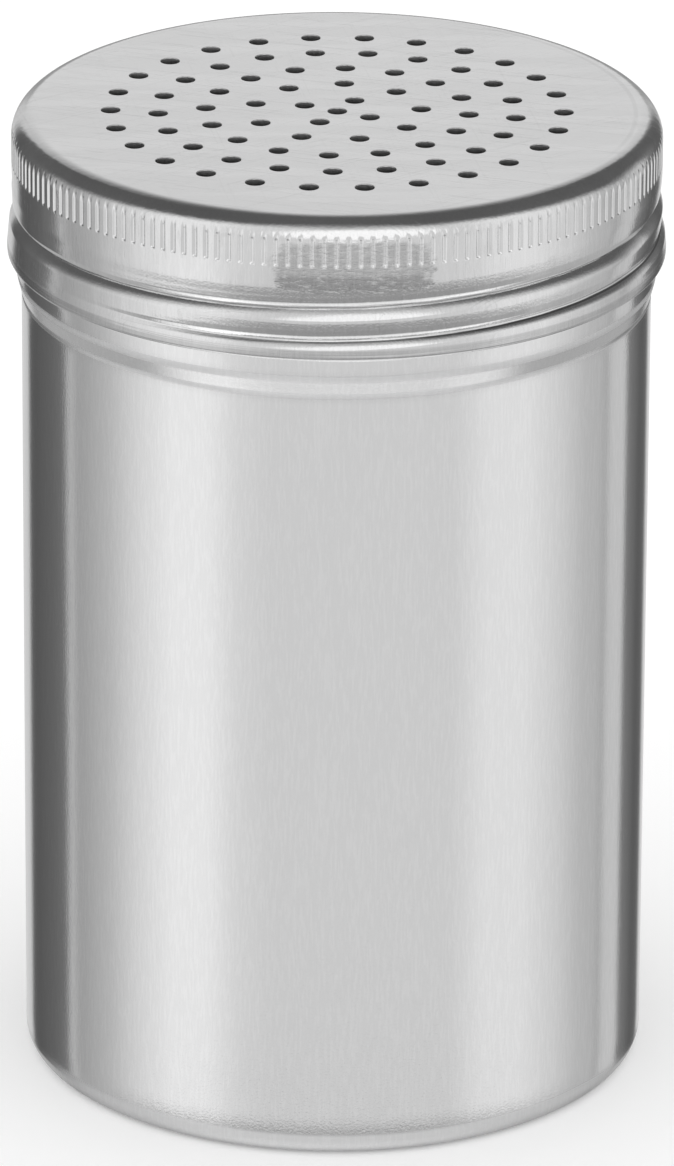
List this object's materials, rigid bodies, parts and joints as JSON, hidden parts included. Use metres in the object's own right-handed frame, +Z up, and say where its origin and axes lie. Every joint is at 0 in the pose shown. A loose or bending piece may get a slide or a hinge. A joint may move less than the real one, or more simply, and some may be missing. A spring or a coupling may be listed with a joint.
{
  "type": "spice shaker",
  "caption": "Drawn aluminium shaker for salt, sugar or spice: a straight container with a bead under a perforated screw lid with a fluted grip.",
  "frame": {"origin": "centre of the base, on the surface that the shaker stands on", "axes": "+Z up along the shaker's axis, +X to the right seen from the front, +Y away from the front"},
  "size_m": [0.0698, 0.0698, 0.106],
  "materials": {
    "container_metal": "fine vertical brushing",
    "lid_metal": "satin top, bright rolled skirt"
  },
  "bodies": {
    "container": {"container": "container_metal"},
    "lid": {"lid": "lid_metal"}
  },
  "joints": [
    {"name": "lid_lift", "type": "slide", "parent": "container", "child": "lid", "axis": [0, 0, 1], "range_m": [0, 0.04]}
  ]
}
